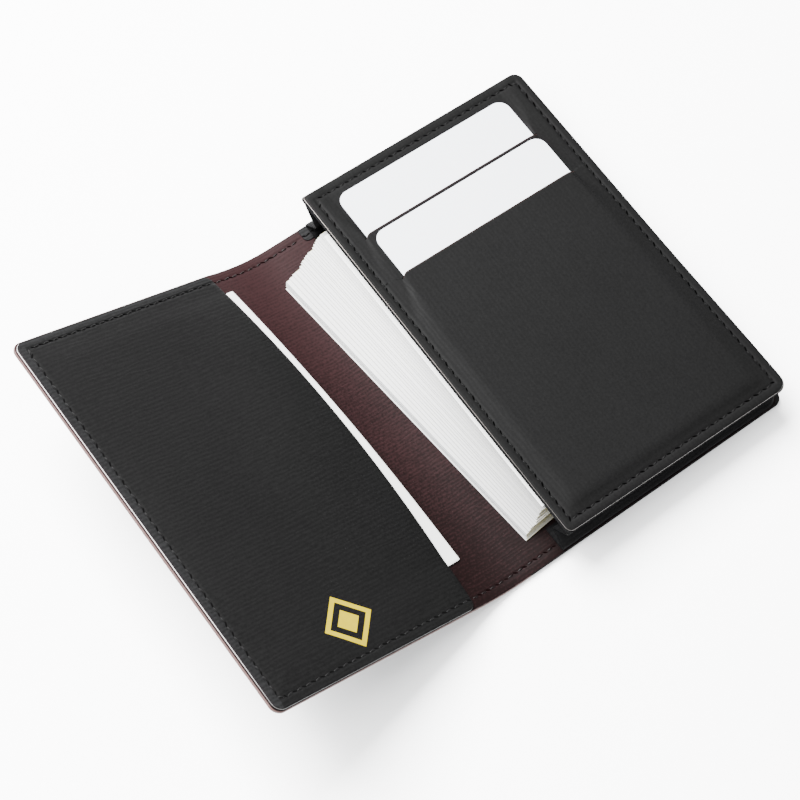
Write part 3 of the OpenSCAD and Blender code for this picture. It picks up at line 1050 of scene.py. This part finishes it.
def gusset_outline(inset, share, n_side=46, n_arc=10):
    """From the mouth at -y round the far side to the mouth at +y, set in from the edge."""
    r = max(3.6 - inset * 0.55, 1.2)
    start = MOUTH + 0.35
    x1, y1 = FAR - inset, HALF - inset
    low_side = inset * (GUSSET_WIDE - 1) if share == 0 else 0.0
    first = np.linspace(-math.pi / 2, 0, n_arc)[1:]
    second = np.linspace(0, math.pi / 2, n_arc)[1:]
    pts = [(x, low_side * float(smooth((x1 - 6 - x) / 10)) - y1) for x in np.linspace(start, x1 - r, n_side)]
    pts += [(x1 - r + r * math.cos(a), -y1 + r + r * math.sin(a)) for a in first]
    pts += [(x1, y) for y in np.linspace(-y1 + r, y1 - r, n_side)[1:]]
    pts += [(x1 - r + r * math.cos(a), y1 - r + r * math.sin(a)) for a in second]
    pts += [(x, y1) for x in np.linspace(x1 - r, start, n_side)[1:]]
    return np.array(pts)


def gusset_profile():
    """(inset, height share, lift in mm) from the back's flange, over the ridge, to the panel's flange."""
    prof = [(FLANGE, 0, 0), (FLANGE - 2, 0, 0), (GUSSET_IN + 0.5, 0, 0), (GUSSET_IN + 0.12, 0, 0.1),
            (GUSSET_IN, 0, 0.4)]
    for t in np.linspace(0.12, 0.9, 7):
        prof.append((GUSSET_IN + GUSSET_DEEP * t ** 1.12, RIDGE * t, 0.4 * (1 - t)))
    prof += [(GUSSET_IN + GUSSET_DEEP, RIDGE, 0), (GUSSET_IN + GUSSET_DEEP + 0.12, 0.5, 0),
             (GUSSET_IN + GUSSET_DEEP, 1 - RIDGE, 0)]
    for t in np.linspace(0.9, 0.12, 7):
        prof.append((GUSSET_IN + GUSSET_DEEP * t ** 1.12, 1 - RIDGE * t, -0.4 * (1 - t)))
    prof += [(GUSSET_IN, 1, -0.4), (GUSSET_IN + 0.12, 1, -0.1), (GUSSET_IN + 0.5, 1, 0), (FLANGE - 2, 1, 0),
             (FLANGE - 0.4, 1, 0)]
    return prof


def under_panel(x):
    return PANEL_Z + (FAR - x) * math.tan(SLOPE)


def gusset_mesh():
    prof = gusset_profile()
    grid, flat, run = [], [], 0.0
    for k, (inset, share, up) in enumerate(prof):
        o = gusset_outline(inset, share)
        low = 2 * H + GUSSET_T / 2 + 0.01
        high = under_panel(o[:, 0]) - GUSSET_T / 2 - 0.03
        z = low + (high - low) * share + up
        grid.append(np.stack([o[:, 0], o[:, 1], z], -1))
        if k:
            run += float(np.median(np.linalg.norm(grid[-1] - grid[-2], axis=1)))
        s = np.concatenate([[0], np.cumsum(np.linalg.norm(np.diff(o, axis=0), axis=1))])
        flat.append(np.stack([s, np.full_like(s, run), 0 * s], -1))
    grid, flat = np.array(grid), np.array(flat)
    du = np.gradient(grid, axis=0)
    dv = np.gradient(grid, axis=1)
    n = np.cross(du, dv)
    n /= np.linalg.norm(n, axis=-1, keepdims=True) + 1e-12
    a, b = grid.shape[:2]
    pts = np.concatenate([(grid + n * GUSSET_T / 2).reshape(-1, 3), (grid - n * GUSSET_T / 2).reshape(-1, 3)])
    idx = np.arange(a * b).reshape(a, b)
    m = a * b
    faces = []
    for i in range(a - 1):
        for j in range(b - 1):
            q = (idx[i, j], idx[i + 1, j], idx[i + 1, j + 1], idx[i, j + 1])
            faces += [q, tuple(x + m for x in reversed(q))]
    for i in range(a - 1):
        for j, flip in ((0, 1), (b - 1, 0)):
            q = (idx[i, j], idx[i + 1, j], idx[i + 1, j] + m, idx[i, j] + m)
            faces.append(tuple(reversed(q)) if flip else q)
    for j in range(b - 1):
        for i, flip in ((0, 0), (a - 1, 1)):
            q = (idx[i, j], idx[i, j + 1], idx[i, j + 1] + m, idx[i, j] + m)
            faces.append(tuple(reversed(q)) if flip else q)
    return mesh_object("gusset_leather", pts, [tuple(int(x) for x in f) for f in faces], [black_soft],
                       np.concatenate([flat.reshape(-1, 3)] * 2))


gusset = gusset_mesh()
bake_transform(gusset)
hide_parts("gusset")


def flange_top(u, v):
    return H + GUSSET_T + 0.02 + 0 * u


path = seam_path((U_MOUTH + 0.6, ring[1], ring[2], ring[3]), SEAM_R, ("v0", "u1", "v1"))
back_seam = stitches("back_seam", [path], flange_top, fold, thread_black, hole_black)
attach(back_seam, "back")


def tab_top(u, v):
    return H + 0.3 + 0 * u


# the gusset's end runs out over the spine strip at +y
# the tab uses the lighter rim leather: painted sheen
gusset_tab = sheet("gusset_tab", lines(U_MOUTH - TAB, U_MOUTH + 0.3), lines(HALF - 4.2, HALF - 0.35),
                   (1.3, 0.4, 0.2, 0.2), tab_top, level(H + 0.01), fold, [black_rim_painted_sheen], bulge=0.12)
tab_path = bounded(path_back, lambda u, v: v > 0 and U_MOUTH - TAB + 0.2 < u < U_MOUTH + 0.4)
tab_seam = stitches("gusset_tab_seam", tab_path, tab_top, fold, thread_black, hole_black)
for part, slot in ((gusset_tab, "black_leather"), (tab_seam, "black_thread")):
    blend_fold(part, "back")

# ---------- floor, light and camera ----------
white = plain("floor", grey(0.98), 0.7, grain=40, depth=0.00001, vary=0.002, specular=0.2)
corners = [(x * FLOOR_REACH, y * FLOOR_REACH, FLOOR_Z) for x, y in ((-1, -1), (1, -1), (1, 1), (-1, 1))]
floor = mesh_object("floor", corners, [(0, 1, 2, 3)], [white])

sky = bpy.context.scene.world or bpy.data.worlds.new("sky")
bpy.context.scene.world = sky
sky.use_nodes = True
sky.node_tree.nodes["Background"].inputs["Color"].default_value = (0.98, 0.99, 1.0, 1.0)
sky.node_tree.nodes["Background"].inputs["Strength"].default_value = SKY


def soft_box(name, power, place, size):
    data = bpy.data.lights.new(name, "AREA")
    data.energy = power
    data.size = size / 1000
    obj = bpy.data.objects.new(name, data)
    obj.location = Vector(place) / 1000
    aim = Vector(CAM_TARGET) / 1000 - obj.location
    obj.rotation_mode = "QUATERNION"
    obj.rotation_quaternion = aim.to_track_quat("-Z", "Y")
    bpy.context.scene.collection.objects.link(obj)


soft_box("key", KEY_POWER, KEY_FROM, KEY_SIZE)
soft_box("back", BACK_POWER, BACK_FROM, BACK_SIZE)

az, el = math.radians(CAM_AZIMUTH), math.radians(CAM_ELEVATION)
look = Vector((math.sin(az) * math.cos(el), math.cos(az) * math.cos(el), -math.sin(el)))
lens = bpy.data.cameras.new("camera")
lens.lens = CAM_LENS
lens.sensor_width = 36
lens.clip_start = 0.01
camera = bpy.data.objects.new("camera", lens)
camera.location = (Vector(CAM_TARGET) - look * CAM_DISTANCE) / 1000
camera.rotation_mode = "QUATERNION"
camera.rotation_quaternion = look.to_track_quat("-Z", "Y") @ Quaternion((0, 0, 1), math.radians(CAM_ROLL))
bpy.context.scene.collection.objects.link(camera)
bpy.context.scene.camera = camera
